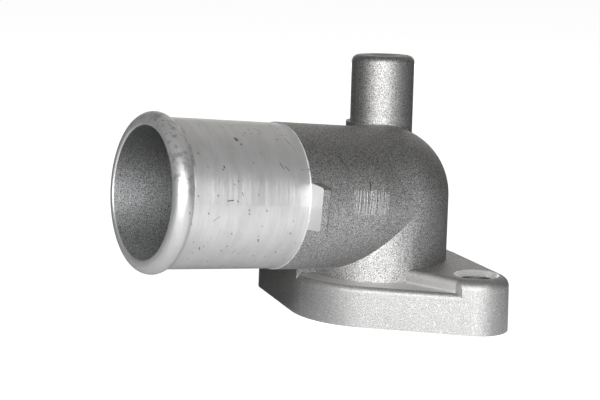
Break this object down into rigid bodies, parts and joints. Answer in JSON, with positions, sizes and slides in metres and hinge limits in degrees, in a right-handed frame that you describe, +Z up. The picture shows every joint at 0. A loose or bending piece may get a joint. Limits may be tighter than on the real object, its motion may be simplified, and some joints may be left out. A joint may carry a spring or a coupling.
{
  "type": "coolant flange",
  "caption": "Cast aluminium coolant outlet: an oval bolt-down flange, a short neck under a round dome, and an angled hose spigot with a bead, a stop lug and a blind boss.",
  "frame": {"origin": "centre of the two bolt holes and of the neck, on the gasket face", "axes": "+Z up along the neck, away from the gasket face; the hose spigot points along -X and climbs a little; the stop lug is on the -Y side"},
  "size_m": [0.0928, 0.0762, 0.0652],
  "materials": {
    "cast_aluminium": "shot-blasted casting with a turned hose seat and a faced gasket side"
  },
  "bodies": {
    "root": {"outlet_casting": "cast_aluminium"}
  },
  "joints": []
}
